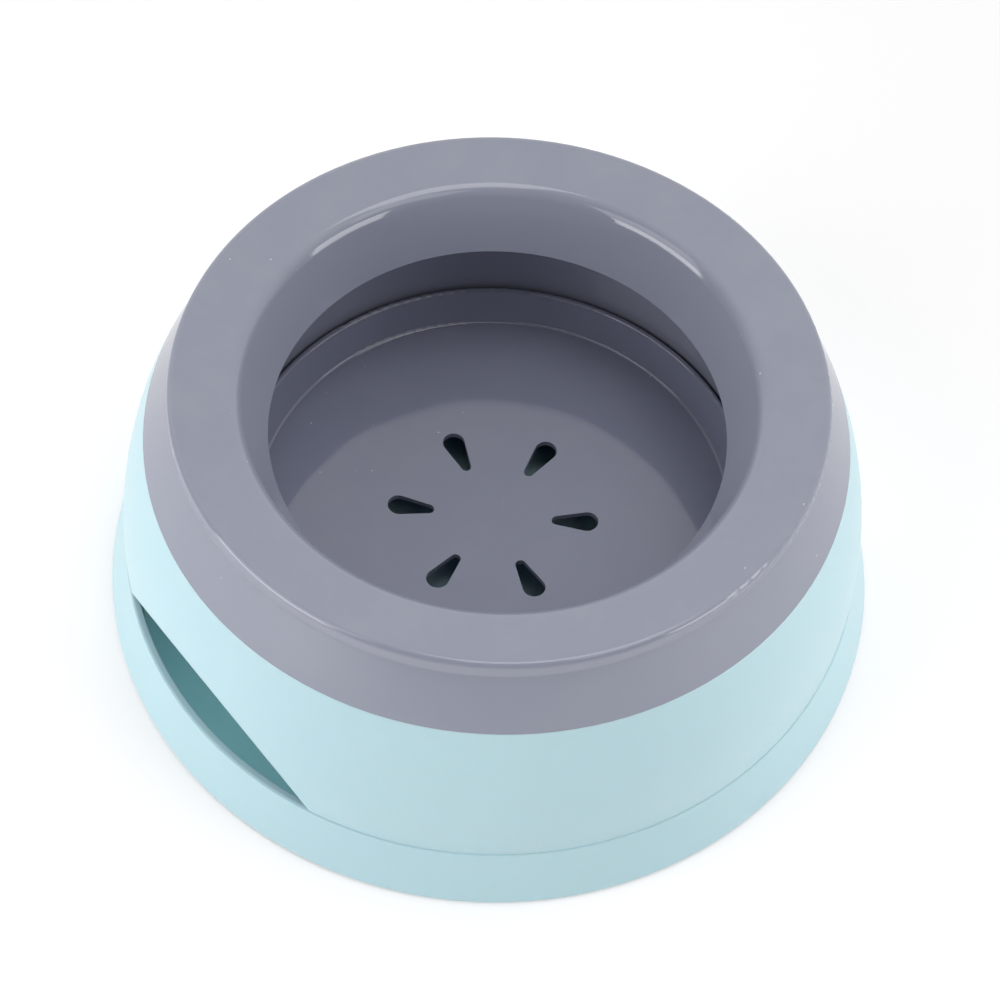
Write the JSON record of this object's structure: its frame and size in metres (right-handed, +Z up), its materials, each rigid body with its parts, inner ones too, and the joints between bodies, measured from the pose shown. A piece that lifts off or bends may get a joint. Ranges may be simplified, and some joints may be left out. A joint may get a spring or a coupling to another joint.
{
  "type": "no spill dog water bowl",
  "caption": "Round spill-proof pet water bowl: flared base with a reservoir and finger slots, lift-off splash lid with an in-turned lip, and a perforated dish that floats on the water.",
  "frame": {"origin": "centre of the foot, on the surface that the bowl stands on", "axes": "+Z up along the bowl's axis, +X and -X through the middles of the two finger slots"},
  "size_m": [0.2234, 0.2234, 0.085],
  "materials": {
    "aqua_plastic": "pale aqua moulded plastic, soft gloss",
    "grey_plastic": "lavender-grey moulded plastic, gloss",
    "dish_plastic": "the lid's grey, high gloss",
    "silicone": "translucent white-grey silicone, matt",
    "foot_rubber": "soft grey rubber, matt"
  },
  "bodies": {
    "base": {"base_shell": "aqua_plastic", "foot_ring": "foot_rubber"},
    "lid": {"splash_lid": "grey_plastic", "lid_seal": "silicone"},
    "dish": {"float_dish": "dish_plastic"}
  },
  "joints": [
    {"name": "lid_lift", "type": "slide", "parent": "base", "child": "lid", "axis": [0, 0, 1], "range_m": [0, 0.06]},
    {"name": "dish_float", "type": "slide", "parent": "base", "child": "dish", "axis": [0, 0, 1], "range_m": [0, 0.04]}
  ]
}
